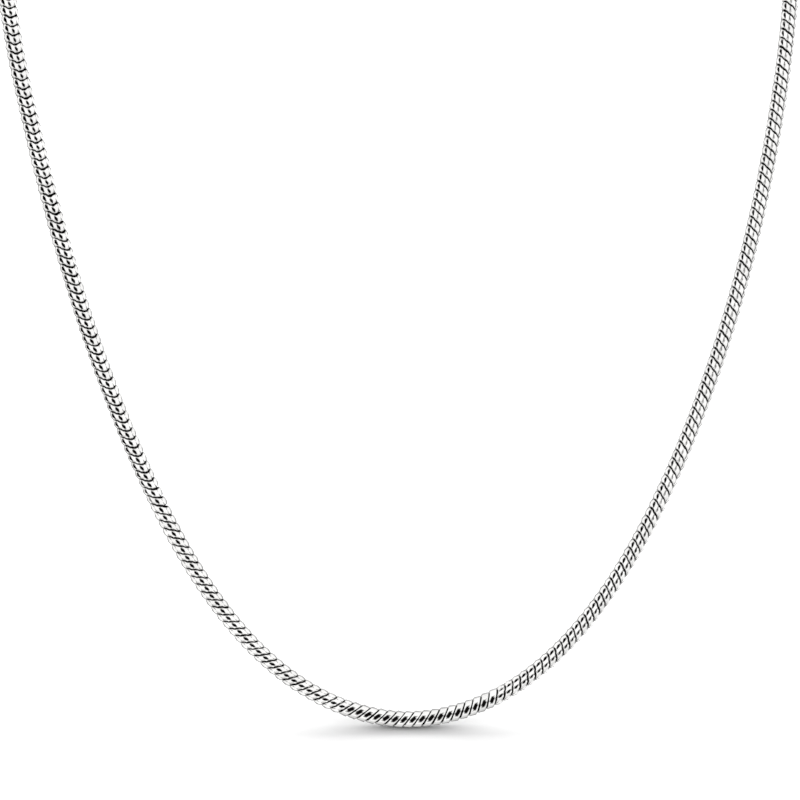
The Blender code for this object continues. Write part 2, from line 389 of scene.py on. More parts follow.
class Route:
    """The chain's centre line, read by distance from the lowest point, positive to +X."""

    def __init__(self):
        loop = closed_spline(route_points())
        steps = np.linalg.norm(np.roll(loop, -1, axis=0) - loop, axis=1)
        self.length = float(steps.sum())
        once = np.concatenate([[0.0], np.cumsum(steps)])
        self.distance = np.concatenate([once[:-1] - self.length, once])
        self.positions = np.vstack([loop, loop, loop[:1]])
        tangents = np.gradient(self.positions, self.distance, axis=0)
        self.tangents = tangents / np.linalg.norm(tangents, axis=1)[:, None]
        self.fronts = self.carried_fronts(len(loop))

    def carried_fronts(self, lowest):
        """The side that faces the viewer, carried along the line both ways without a twist."""
        fronts = np.zeros_like(self.positions)
        fronts[lowest] = (0.0, -math.cos(DROP_LEAN), math.sin(DROP_LEAN))
        order = [(i, i - 1) for i in range(lowest + 1, len(fronts))]
        order += [(i, i + 1) for i in range(lowest - 1, -1, -1)]
        for here, before in order:
            tangent = self.tangents[here]
            front = fronts[before] - tangent * np.dot(fronts[before], tangent)
            fronts[here] = front / np.linalg.norm(front)
        return fronts

    def read(self, table, distance):
        return np.array([np.interp(distance, self.distance, table[:, k]) for k in range(3)])

    def frame(self, distance, way):
        """Matrix at a distance: Z along the line the way given, X out from the loop."""
        along = Vector(self.read(self.tangents, distance)).normalized() * way
        outward = (along * way).cross(Vector((0.0, 0.0, 1.0))).normalized()
        turn = Matrix((outward, along.cross(outward), along)).transposed().to_4x4()
        return Matrix.Translation(Vector(self.read(self.positions, distance))) @ turn


def ring_reach(fittings, hole):
    """From the middle of a hole to the middle of a jump ring that is drawn through it."""
    through = (hole - fittings.ring_wire) / 2.0 - fittings.seat_gap
    return through + (fittings.ring_hole + fittings.ring_wire) / 2.0


def eye_height(fittings):
    """From the cap's closed end to the middle of its eye."""
    return fittings.eye_hole / 2.0 + fittings.eye_wire - fittings.eye_sink


def hook_middle(fittings):
    return fittings.clasp_length / 2.0 - fittings.hook_wall - fittings.hook_hole / 2.0


def tail_middle(fittings):
    return fittings.clasp_length / 2.0 - fittings.tail_wall - fittings.tail_hole / 2.0


def fastening(fittings, route, side):
    """Way towards the clasp on one side, and distances of its jump ring and cap's mouth."""
    if side == "right":
        way, reach, hole = 1.0, tail_middle(fittings), fittings.tail_hole
    else:
        way, reach, hole = -1.0, hook_middle(fittings), fittings.hook_hole
    clasp_at = route.length / 2.0
    ring_at = clasp_at - reach - ring_reach(fittings, hole)
    eye_at = ring_at - ring_reach(fittings, fittings.eye_hole)
    return way, ring_at, eye_at - eye_height(fittings) - fittings.cap_length


# Metal

def painted_shade_group():
    """Painted shade, dark where a mask says that the metal is sunk, with an uneven border."""
    tree = bpy.data.node_groups.get("tarnish in the gaps")
    if tree:
        return tree
    tree = bpy.data.node_groups.new("tarnish in the gaps", "ShaderNodeTree")
    group_sockets(tree, [
        ("Sunk", "NodeSocketFloat", 0.0, "0 on the outer faces, 1 deep in a gap"),
        ("Tone", "NodeSocketFloat", 0.5, "How bright this link is among its neighbours"),
        ("Position", "NodeSocketVector", None, "Object coordinates"),
        ("Silver", "NodeSocketColor", (0.95, 0.95, 0.94, 1.0), "Clean metal"),
        ("Tarnish", "NodeSocketColor", (0.02, 0.02, 0.02, 1.0), "Darkened metal"),
        ("Border From", "NodeSocketFloat", 0.2, "Where the tarnish starts"),
        ("Border To", "NodeSocketFloat", 0.6, "Where it is full"),
        ("Tone Range", "NodeSocketFloat", 0.06, "How much the links differ"),
    ], [("Color", "NodeSocketColor"), ("Clean", "NodeSocketFloat")])
    given = node(tree, "NodeGroupInput").outputs
    grain = noise(tree, given["Position"], 2600.0, 2.0)
    uneven = math_node(tree, "MULTIPLY_ADD", grain, 0.2, -0.1)
    depth = math_node(tree, "ADD", given["Sunk"], uneven)
    border = ranged(tree, depth, given["Border From"], given["Border To"], smooth=True)
    tone = math_node(tree, "SUBTRACT", given["Tone"], 0.5)
    tone = math_node(tree, "MULTIPLY_ADD", tone, given["Tone Range"], 1.0)
    toned = scaled(tree, given["Silver"], tone)
    mixed = node(
        tree, "ShaderNodeMix", {"Factor": border, 6: toned, 7: given["Tarnish"]}, data_type="RGBA")
    unshaded = math_node(tree, "SUBTRACT", 1.0, border)
    node(tree, "NodeGroupOutput", {"Color": mixed.outputs[2], "Clean": unshaded})
    set_out(tree)
    return tree


def polish_group():
    """Fine hairline scratches and soft uneven polish."""
    tree = bpy.data.node_groups.get("polish wear")
    if tree:
        return tree
    tree = bpy.data.node_groups.new("polish wear", "ShaderNodeTree")
    group_sockets(tree, [
        ("Position", "NodeSocketVector", None, "Object coordinates"),
        ("Roughness", "NodeSocketFloat", 0.15, "Roughness of the clean metal"),
        ("Uneven", "NodeSocketFloat", 0.06, "How much the polish varies"),
        ("Scratch Size", "NodeSocketFloat", 3000.0, "How fine the scratches are"),
        ("Scratches", "NodeSocketFloat", 0.5, "How plainly the scratches show"),
    ], [("Roughness", "NodeSocketFloat"), ("Height", "NodeSocketFloat")])
    given = node(tree, "NodeGroupInput").outputs
    cloudy = noise(tree, given["Position"], 420.0, 3.0)
    drawn = node(tree, "ShaderNodeVectorMath", {
        0: given["Position"], 1: (1.0, 0.18, 0.35)}, operation="MULTIPLY")
    hair = noise(tree, drawn.outputs["Vector"], given["Scratch Size"], 4.0, roughness=0.7)
    height = math_node(tree, "MULTIPLY", ranged(tree, hair, 0.52, 0.72), given["Scratches"])
    spread = math_node(tree, "SUBTRACT", cloudy, 0.5)
    spread = math_node(tree, "MULTIPLY", spread, given["Uneven"])
    rough = math_node(tree, "ADD", given["Roughness"], spread)
    rough = math_node(tree, "MULTIPLY_ADD", height, 0.08, rough)
    node(tree, "NodeGroupOutput", {"Roughness": rough, "Height": height})
    set_out(tree)
    return tree


# Roughness where the painted shade lies
PAINTED_SHADE_ROUGHNESS = 0.55


def silver_material(name, silver, tarnish, roughness, border, tone_range, scratches):
    """Polished silver with painted shade, dark where its sunk attribute lies past the border."""
    material = bpy.data.materials.get(name)
    if material:
        return material
    material = bpy.data.materials.new(name)
    material.use_nodes = True
    tree = material.node_tree
    shader = tree.nodes["Principled BSDF"]
    place = node(tree, "ShaderNodeTexCoord").outputs["Object"]
    sunk = node(tree, "ShaderNodeAttribute", attribute_name="sunk").outputs["Fac"]
    tone = node(tree, "ShaderNodeAttribute", attribute_name="link_tone").outputs["Fac"]
    dark = node(tree, "ShaderNodeGroup", node_tree=painted_shade_group(), inputs={
        "Sunk": sunk, "Tone": tone, "Position": place,
        "Silver": (*silver, 1.0), "Tarnish": (*tarnish, 1.0),
        "Border From": border[0], "Border To": border[1], "Tone Range": tone_range})
    wear = node(tree, "ShaderNodeGroup", node_tree=polish_group(), inputs={
        "Position": place, "Roughness": roughness, "Scratches": scratches})
    rough = node(tree, "ShaderNodeMix", {
        "Factor": dark.outputs["Clean"], 2: PAINTED_SHADE_ROUGHNESS, 3: wear.outputs["Roughness"]})
    bump = node(tree, "ShaderNodeBump", {
        "Strength": 0.12, "Distance": 0.02 * MM, "Height": wear.outputs["Height"]})
    tree.links.new(dark.outputs["Color"], shader.inputs["Base Color"])
    tree.links.new(rough.outputs[0], shader.inputs["Roughness"])
    tree.links.new(bump.outputs["Normal"], shader.inputs["Normal"])
    tree.links.new(dark.outputs["Clean"], shader.inputs["Metallic"])
    # The painted shade is dull: only the metal mirrors
    shader.inputs["Specular IOR Level"].default_value = 0.0
    set_out(tree)
    return material


def link_silver(finish):
    return silver_material(
        "link silver", finish.silver, finish.tarnish, finish.link_polish,
        border=(0.06, 0.3), tone_range=0.12, scratches=0.25)


def fitting_silver(finish):
    return silver_material(
        "fitting silver", finish.fitting_silver, finish.tarnish, finish.fitting_polish,
        border=(0.25, 0.8), tone_range=0.0, scratches=0.5)


# Links

PLATES_ROUND = 8

# Where a size of the links gives way to its next value, in mm from the lowest point
CHANGES = {
    "spread": [(-60.0, 0.0)],
    "wave": [(0.0, 20.0)],
    "hook": [(-97.0, -90.0), (-54.0, -47.0)],
    "hook_from": [(-97.0, -90.0)],
    "turn": [(-94.0, -74.0), (4.0, 20.0), (48.0, 58.0)],
    "front_slots": [(-98.0, -90.0), (10.0, 20.0), (42.0, 50.0)],
    "inner_slots": [(10.0, 18.0), (48.0, 58.0)],
    "outer_slots": [(-56.0, -48.0), (48.0, 58.0)],
}

# Places round a link are sines of the angle from the front, positive to the loop's inside.
# Neighbouring links nest past these two
NESTED_PAST = (-0.78, 0.86)
# The wave rises between these two, and a hook in it is full at the third
WAVE_FROM, WAVE_TO, HOOK_TO = -0.85, 0.75, 0.9
# The front slots end between these two, on both sides
FRONT_ENDS = (0.2, 0.35)
# A slot is sunk more than this, and a link's own edges are sunk less
SLOT_SUNK = 0.45


def link_mesh(links, opened):
    """One link before its wave: rounded plates side by side, with a sunk slot between each two.

    Its axis is Z, and angles run from X towards -Y, so that they rise towards the loop's inside.
    An opened link has no slots but those at its front and back, which widen to pockets.
    """
    crown = links.diameter / 2.0
    half = (links.pitch - links.gap) / 2.0
    mesh = bmesh.new()
    # Each corner's sunk value sets how much painted shade it takes in the gaps, slots and pockets
    sunk = mesh.verts.layers.float.new("sunk")
    around = mesh.verts.layers.float.new("around")

    def corner(degrees, drop, height, depth, wave_degrees):
        angle = math.radians(degrees)
        made = mesh.verts.new((
            (crown - drop) * math.cos(angle), -(crown - drop) * math.sin(angle), height))
        made[sunk] = depth
        made[around] = math.radians(wave_degrees)
        return made

    # An opened link's pockets reach nearer to its edges than the slots, and are less deep
    edge, slot = links.edge_drop, links.slot_depth
    if opened:
        inner, inner_sunk, edge_sunk, floor = 0.8, 0.1, 0.44, slot * 0.55
    else:
        inner, inner_sunk, edge_sunk, floor = 0.76, 0.08, 0.36, slot
    # Rows from a link's one edge to the other: share of the half height, drop of a plate and how
    # much painted shade it takes, drop of a slot and how much painted shade it takes
    edge_row = (edge, edge_sunk, slot * 0.9, 0.44)
    inner_row = (edge * inner ** 2, 0.0, slot * 0.3, inner_sunk)
    rows = [
        (-1.0, *edge_row), (-inner, *inner_row), (0.0, 0.0, 0.0, floor, 1.0),
        (inner, *inner_row), (1.0, *edge_row)]
    # Where the links nest at their sides, their edges take less painted shade
    pocket_side_sunk, nested_fade = 0.55, 0.4
    step = 360.0 / PLATES_ROUND
    side = math.degrees(links.slot_width) / 2.0
    nested = (links.gap - links.side_gap) / 2.0
    rings = []
    for share, plate_drop, plate_sunk, slot_drop, slot_sunk in rows:
        ring = []
        for plate in range(PLATES_ROUND):
            for nearest, from_slot in ((plate, 0.0), (plate, side), (plate + 1, -side)):
                degrees = step * nearest + from_slot
                height, fade = share * half, 1.0
                inward = math.sin(math.radians(degrees))
                if abs(share) == 1.0 and not NESTED_PAST[0] < inward < NESTED_PAST[1]:
                    height += share * nested
                    fade = nested_fade
                # Off the edges the wave is levelled, so that slots and pockets slant less
                if opened:
                    waved = math.degrees(math.asin((0.4 + 0.6 * abs(share)) * inward))
                else:
                    waved = step * nearest + share ** 4 * from_slot
                pocket = nearest % (PLATES_ROUND // 2) == 0
                if from_slot == 0.0 and (pocket or not opened):
                    ring.append(corner(degrees, slot_drop, height, slot_sunk * fade, waved))
                elif opened and share == 0.0 and pocket:
                    ring.append(corner(degrees, floor, height, pocket_side_sunk, waved))
                else:
                    ring.append(corner(degrees, plate_drop, height, plate_sunk * fade, waved))
        rings.append(ring)
    count = len(rings[0])
    for low, high in zip(rings, rings[1:]):
        for i in range(count):
            after = (i + 1) % count
            mesh.faces.new((low[i], low[after], high[after], high[i]))
    # The ends bulge into each other inside, so that nothing is seen through the gaps, and are
    # painted fully dark as shade
    core = half + 1.4 * links.gap
    for ring, height in ((rings[0], -core), (rings[-1], core)):
        centre = mesh.verts.new((0.0, 0.0, height))
        centre[sunk] = 1.0
        for i in range(0, count, 3):
            mesh.faces.new((centre, ring[i - 1], ring[i], ring[i + 1]))
            mesh.faces.new((centre, ring[i + 1], ring[i + 2]))
    bmesh.ops.recalc_face_normals(mesh, faces=mesh.faces)
    return shaded("opened link" if opened else "link", mesh, 50.0)


def shaded(name, mesh, sharp_degrees):
    """A mesh with smooth faces and sharp edges past an angle."""
    data = bpy.data.meshes.new(name)
    mesh.to_mesh(data)
    mesh.free()
    data.shade_smooth()
    data.set_sharp_from_angle(angle=math.radians(sharp_degrees))
    return data


def stage_names(links, size):
    """Names of a changing size's node tree inputs, one for each of its values."""
    name = links.bl_rna.properties[size].name
    return ["%s %d" % (name, i + 1) for i in range(len(getattr(links, size)))]


def links_tree(links):
    """Sets one link after another along a guide line, each turned with the line."""
    tree = bpy.data.node_groups.get("links along a line")
    if tree:
        return tree
    tree = bpy.data.node_groups.new("links along a line", "GeometryNodeTree")
    tree.is_modifier = True
    inputs = [
        ("Guide", "NodeSocketGeometry", None, "Line with its front vector"),
        ("Link", "NodeSocketObject", None, "One link, its axis along Z"),
        ("Opened Link", "NodeSocketObject", None, "The same link where it stands open in the bend"),
        ("Opened From", "NodeSocketFloat", -0.01, "Distance where the opened links start"),
        ("Opened To", "NodeSocketFloat", 0.01, "Distance where they end"),
        ("Count", "NodeSocketInt", 1, "Number of links"),
        ("First", "NodeSocketInt", 0, "Number of the first link, counted from the lowest point"),
        ("Lowest", "NodeSocketFloat", 0.0, "Distance of the lowest point along the guide"),
        ("Pitch", "NodeSocketFloat", 0.0013, "From one link to the next"),
        ("Looseness", "NodeSocketFloat", 0.0, "How far a link may sit askew"),
        ("Seed", "NodeSocketInt", 0, "Picks the small differences"),
        ("Material", "NodeSocketMaterial", None, "The links' metal"),
    ]
    for size in CHANGES:
        description = links.bl_rna.properties[size].description
        for name, value in zip(stage_names(links, size), getattr(links, size)):
            inputs.append((name, "NodeSocketFloat", value, description))
    group_sockets(tree, inputs, [("Links", "NodeSocketGeometry")])
    given = node(tree, "NodeGroupInput").outputs
    index = node(tree, "GeometryNodeInputIndex").outputs["Index"]
    number = math_node(tree, "ADD", index, given["First"])
    middle = math_node(tree, "ADD", number, 0.5)
    distance = math_node(tree, "MULTIPLY", middle, given["Pitch"])
    along = math_node(tree, "ADD", distance, given["Lowest"])

    def held(name, kind="FLOAT"):
        made = node(tree, "GeometryNodeInputNamedAttribute", {"Name": name}, data_type=kind)
        return made.outputs["Attribute"]

    def storing(geometry, name, kind, value):
        made = node(tree, "GeometryNodeStoreNamedAttribute", {
            "Geometry": geometry, "Name": name, "Value": value}, data_type=kind, domain="POINT")
        return made.outputs["Geometry"]

    curve = node(tree, "GeometryNodeMeshToCurve", {"Mesh": given["Guide"]}).outputs["Curve"]
    on_line = node(tree, "GeometryNodeSampleCurve", {
        "Curves": curve, "Value": held("front", "FLOAT_VECTOR"), "Length": along},
        mode="LENGTH", data_type="FLOAT_VECTOR").outputs
    points = node(
        tree, "GeometryNodePoints", {"Count": given["Count"], "Position": on_line["Position"]})

    def here(size):
        """A size of the links at its place along the chain."""
        first, *others = stage_names(links, size)
        value = given[first]
        for (start, end), name in zip(CHANGES[size], others):
            value = ranged(tree, distance, start * MM, end * MM, value, given[name], smooth=True)
        return value

    tone = node(
        tree, "FunctionNodeRandomValue", {"ID": number, "Seed": given["Seed"]}, data_type="FLOAT")
    stored = [
        ("link_tone", "FLOAT", tone.outputs[1]),
        ("ahead", "FLOAT_VECTOR", scaled(tree, on_line["Tangent"], here("wave")))]
    for size in ("hook", "hook_from", "front_slots", "inner_slots", "outer_slots"):
        stored.append((size, "FLOAT", here(size)))
    marked = points.outputs[0]
    for name, kind, value in stored:
        marked = storing(marked, name, kind, value)

    facing = node(tree, "FunctionNodeAxesToRotation", {
        "Primary Axis": on_line["Tangent"], "Secondary Axis": on_line["Value"]},
        primary_axis="Z", secondary_axis="X")
    turn = math_node(tree, "MULTIPLY", here("turn"), -1.0)
    turned = node(tree, "ShaderNodeCombineXYZ", {"Z": turn})
    least = math_node(tree, "MULTIPLY", given["Looseness"], -1.0)
    low, high = (
        node(tree, "ShaderNodeCombineXYZ", dict.fromkeys("XYZ", limit)).outputs[0]
        for limit in (least, given["Looseness"]))
    askew = node(tree, "FunctionNodeRandomValue", {
        "Min": low, "Max": high, "ID": number, "Seed": given["Seed"]},
        data_type="FLOAT_VECTOR").outputs["Value"]
    local = node(tree, "ShaderNodeVectorMath", {0: turned.outputs[0], 1: askew}, operation="ADD")
    local_turn = node(tree, "FunctionNodeEulerToRotation", {"Euler": local.outputs["Vector"]})
    rotation = node(tree, "FunctionNodeRotateRotation", {
        "Rotation": facing.outputs["Rotation"], "Rotate By": local_turn.outputs["Rotation"]},
        rotation_space="LOCAL")

    after = math_node(tree, "GREATER_THAN", distance, given["Opened From"])
    before = math_node(tree, "LESS_THAN", distance, given["Opened To"])
    opened = math_node(tree, "MULTIPLY", after, before)
    plain = math_node(tree, "SUBTRACT", 1.0, opened)
    spread = here("spread")
    width = node(tree, "ShaderNodeCombineXYZ", {"X": spread, "Y": spread, "Z": 1.0}).outputs[0]
    joined = node(tree, "GeometryNodeJoinGeometry")
    for name, chosen in (("Link", plain), ("Opened Link", opened)):
        link = node(tree, "GeometryNodeObjectInfo", {"Object": given[name]}).outputs["Geometry"]
        placed = node(tree, "GeometryNodeInstanceOnPoints", {
            "Points": marked, "Selection": chosen, "Instance": link,
            "Rotation": rotation.outputs["Rotation"], "Scale": width})
        tree.links.new(placed.outputs["Instances"], joined.inputs["Geometry"])
    real = node(tree, "GeometryNodeRealizeInstances", {"Geometry": joined.outputs["Geometry"]})

    inward = math_node(tree, "SINE", held("around"))
    ends_from, ends_to = FRONT_ENDS
    darkness = ranged(tree, inward, -ends_to, -ends_from, held("outer_slots"), held("front_slots"))
    darkness = ranged(tree, inward, ends_from, ends_to, darkness, held("inner_slots"))
    # Painted shade in the slots, darker or lighter by which side of the loop they face and where
    # they lie along the chain, as the light falls. Only the slots differ
    sunk = held("sunk")
    is_slot = math_node(tree, "GREATER_THAN", sunk, SLOT_SUNK)
    more = math_node(tree, "MULTIPLY", is_slot, math_node(tree, "SUBTRACT", darkness, 1.0))
    shade = math_node(tree, "MULTIPLY", sunk, math_node(tree, "ADD", more, 1.0))
    shaded_slots = storing(real.outputs["Geometry"], "sunk", "FLOAT", shade)
    # The wave rises straight over the front, is level at the sides and falls over the back. Up on
    # the left it turns back before the inner side
    share = ranged(tree, inward, WAVE_FROM, WAVE_TO, -0.5, 0.5)
    back = ranged(tree, inward, held("hook_from"), HOOK_TO, 0.0, held("hook"))
    ahead = held("ahead", "FLOAT_VECTOR")
    moved = scaled(tree, ahead, math_node(tree, "SUBTRACT", share, back))
    waved = node(tree, "GeometryNodeSetPosition", {"Geometry": shaded_slots, "Offset": moved})
    silvered = node(tree, "GeometryNodeSetMaterial", {
        "Geometry": waved.outputs["Geometry"], "Material": given["Material"]})
    node(tree, "NodeGroupOutput", {"Links": silvered.outputs["Geometry"]})
    set_out(tree)
    return tree


def guide_line(route):
    """The centre line, cut at the clasp, as a mesh line that carries the viewer's side."""
    half = route.length / 2.0
    inside = [i for i, d in enumerate(route.distance) if -half < d < half]
    mesh = bpy.data.meshes.new("centre line")
    edges = [(i, i + 1) for i in range(len(inside) - 1)]
    mesh.from_pydata([tuple(route.positions[i]) for i in inside], edges, [])
    front = mesh.attributes.new("front", "FLOAT_VECTOR", "POINT")
    front.data.foreach_set("vector", route.fronts[inside].astype(np.float32).ravel())
    return mesh, -route.distance[inside[0]]


def links_run(side, route, links, fittings, way, mouth, material):
    """The links of one run, from the lowest point into the cap, as one plain mesh."""
    name = "snake_links_" + side
    room = fittings.cap_length - fittings.cap_end - links.wave[0] / 2.0 - links.pitch
    count = math.ceil((mouth + room) / links.pitch - 0.5)
    line, lowest = guide_line(route)
    link = bpy.data.objects.new("link", link_mesh(links, False))
    opened = bpy.data.objects.new("opened link", link_mesh(links, True))
    guide = bpy.data.objects.new("guide", line)
    bpy.context.scene.collection.objects.link(guide)
    modifier = guide.modifiers.new("links", "NODES")
    modifier.node_group = links_tree(links)
    values = {
        "Link": link, "Opened Link": opened,
        "Opened From": links.opened_from, "Opened To": links.opened_to,
        "Count": count, "First": 0 if way > 0 else -count, "Lowest": float(lowest),
        "Pitch": links.pitch, "Looseness": links.looseness, "Seed": links.seed,
        "Material": material,
    }
    for size in CHANGES:
        values.update(zip(stage_names(links, size), getattr(links, size)))
    for socket in modifier.node_group.interface.items_tree:
        if socket.name in values and socket.in_out == "INPUT":
            modifier[socket.identifier] = values[socket.name]
    bpy.context.view_layer.update()
    evaluated = guide.evaluated_get(bpy.context.evaluated_depsgraph_get())
    mesh = bpy.data.meshes.new_from_object(evaluated)
    if not mesh.polygons:
        raise RuntimeError(name + ": the node tree made no links")
    mesh.name = name
    guide.modifiers.remove(modifier)
    for spare in (guide, link, opened):
        data = spare.data
        bpy.data.objects.remove(spare)
        bpy.data.meshes.remove(data)
    return add_piece(name, mesh, "snake_chain_" + side)


def add_piece(name, mesh, replaced):
    """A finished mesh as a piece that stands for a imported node."""
    piece = bpy.data.objects.new(name, mesh)
    bpy.context.scene.collection.objects.link(piece)
    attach(piece, BODY)
    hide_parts(replaced)
    return piece


# Fittings

# How much painted shade the rings' seam and the pin's rim take
SEAM_SUNK = 0.6


def turned_shape(mesh, sunk, profile, steps, middle=(0.0, 0.0)):
    """A turned solid in a mesh: (radius, height, sunk) rows, closed on its upright axis."""
    rings = []
    for radius, height, depth in profile:
        ring = []
        for step in range(1 if radius == 0.0 else steps):
            angle = 2.0 * math.pi * step / steps
            made = mesh.verts.new((
                middle[0] + radius * math.cos(angle), middle[1] + radius * math.sin(angle), height))
            made[sunk] = depth
            ring.append(made)
        rings.append(ring)
    for low, high in zip(rings, rings[1:]):
        for i in range(steps):
            after = (i + 1) % steps
            corners = [
                low[i % len(low)], low[after % len(low)],
                high[after % len(high)], high[i % len(high)]]
            mesh.faces.new(list(dict.fromkeys(corners)))


def swept_ring(mesh, sunk, radius, wire, steps, sides, place, seam=0.0):
    """Round wire bent to a ring about the Z axis. A seam leaves a thin cut between closed ends."""
    rings = []
    turns = steps + 1 if seam else steps
    for step in range(turns):
        angle = seam + (2.0 * math.pi - 2.0 * seam) * step / steps
        ring = []
        for side in range(sides):
            around = 2.0 * math.pi * side / sides
            reach = radius + wire * math.cos(around)
            made = mesh.verts.new(place @ Vector((
                reach * math.cos(angle), reach * math.sin(angle), wire * math.sin(around))))
            # The seam's ends take painted shade
            made[sunk] = SEAM_SUNK if seam and step in (0, steps) else 0.0
            ring.append(made)
        rings.append(ring)
    pairs = list(zip(rings, rings[1:])) + ([] if seam else [(rings[-1], rings[0])])
    for first, second in pairs:
        for side in range(sides):
            after = (side + 1) % sides
            mesh.faces.new((first[side], first[after], second[after], second[side]))
    if seam:
        mesh.faces.new(rings[0])
        mesh.faces.new(rings[-1])


def place_mesh(name, mesh, place, material, sharp_degrees=40.0):
    """Puts a mesh in its place with its faces outwards."""
    bmesh.ops.recalc_face_normals(mesh, faces=mesh.faces)
    bmesh.ops.transform(mesh, matrix=place, verts=mesh.verts)
    data = shaded(name, mesh, sharp_degrees)
    data.materials.append(material)
    return data


def rounded(middle, radius, first, last, steps):
    """Profile rows on an arc round (radius, height), from one angle to another."""
    rows = []
    for i in range(steps + 1):
        angle = math.radians(first + (last - first) * i / steps)
        rows.append((
            middle[0] + radius * math.cos(angle), middle[1] + radius * math.sin(angle), 0.0))
    return rows


def groove(outer, middle):
    """Profile rows of a rounded groove in the sleeve, read from top to bottom."""
    half, depth = 0.13 * MM, 0.11 * MM
    # The groove's sides and bottom take painted shade
    return [
        (outer, middle + half, 0.0), (outer - depth * 0.7, middle + half * 0.6, 0.5),
        (outer - depth, middle, 0.9), (outer - depth * 0.7, middle - half * 0.6, 0.5),
        (outer, middle - half, 0.0)]


def cap_mesh(links, fittings):
    """A cap with a rolled lip, two grooves and its eye, its mouth at z = 0."""
    bore = links.diameter / 2.0 + fittings.clearance
    outer = bore + fittings.cap_wall
    length = fittings.cap_length
    floor = length - fittings.cap_end
    round_off = 0.35 * MM
    lip = 0.28 * MM
    # The lip is drawn in on the widest links
    closing = links.diameter / 2.0 * max(links.spread) + 0.02 * MM
    profile = [(0.0, length, 0.0), (0.9 * MM, length, 0.25)]
    profile += rounded((outer - round_off, length - round_off), round_off, 90.0, 0.0, 6)
    profile += groove(outer, length - 1.15 * MM)
    profile += groove(outer, 1.25 * MM)
    profile += rounded((outer - lip + 0.04 * MM, lip), lip, 25.0, -90.0, 7)
    # The lip's inside and the bore are painted dark as shade
    profile += [
        (closing + 0.05 * MM, 0.06 * MM, 0.3), (closing, 0.2 * MM, 0.7), (bore, 0.6 * MM, 1.0),
        (bore, floor, 1.0), (0.0, floor, 1.0)]
    mesh = bmesh.new()
    sunk = mesh.verts.layers.float.new("sunk")
    turned_shape(mesh, sunk, profile, 48)
    wire = fittings.eye_wire / 2.0
    eye_at = length + eye_height(fittings)
    seat = Matrix.Translation((0.0, 0.0, eye_at)) @ Matrix.Rotation(math.pi / 2.0, 4, "Y")
    swept_ring(mesh, sunk, fittings.eye_hole / 2.0 + wire, wire, 40, 14, seat)
    # Solder round the eye's foot, with painted shade where it meets the cap's end
    solder = [
        (0.0, length + 0.36 * MM, 0.0), (wire + 0.02 * MM, length + 0.33 * MM, 0.0),
        (wire + 0.16 * MM, length + 0.17 * MM, 0.0), (wire + 0.36 * MM, length + 0.05 * MM, 0.2),
        (wire + 0.5 * MM, length - 0.1 * MM, 0.35), (0.0, length - 0.1 * MM, 0.0)]
    turned_shape(mesh, sunk, solder, 32)
    return mesh


def ring_mesh(fittings):
    """A jump ring of round wire, with the thin seam where its ends meet."""
    wire = fittings.ring_wire / 2.0
    mesh = bmesh.new()
    sunk = mesh.verts.layers.float.new("sunk")
    upright = Matrix.Rotation(math.pi / 2.0, 4, "X")
    seam = 0.02 * MM / fittings.ring_hole
    swept_ring(mesh, sunk, fittings.ring_hole / 2.0 + wire, wire, 72, 16, upright, seam=seam)
    return mesh


def arc(middle, radius, first, last, steps):
    angles = [first + (last - first) * i / steps for i in range(steps + 1)]
    return [(middle + radius * math.cos(a), radius * math.sin(a)) for a in angles]


def flat_piece(outlines, thickness, rounding):
    """A flat plate with rounded rims, as a mesh in the XY plane."""
    curve = bpy.data.curves.new("outline", "CURVE")
    curve.dimensions = "2D"
    curve.fill_mode = "BOTH"
    curve.extrude = thickness / 2.0 - rounding
    curve.bevel_depth = rounding
    curve.bevel_resolution = 3
    for points in outlines:
        spline = curve.splines.new("POLY")
        spline.points.add(len(points) - 1)
        for corner, (along, across) in zip(spline.points, points):
            corner.co = (along, across, 0.0, 1.0)
        spline.use_cyclic_u = True
    holder = bpy.data.objects.new("outline", curve)
    bpy.context.scene.collection.objects.link(holder)
    bpy.context.view_layer.update()
    evaluated = holder.evaluated_get(bpy.context.evaluated_depsgraph_get())
    data = bpy.data.meshes.new_from_object(evaluated)
    bpy.data.objects.remove(holder)
    bpy.data.curves.remove(curve)
    return data


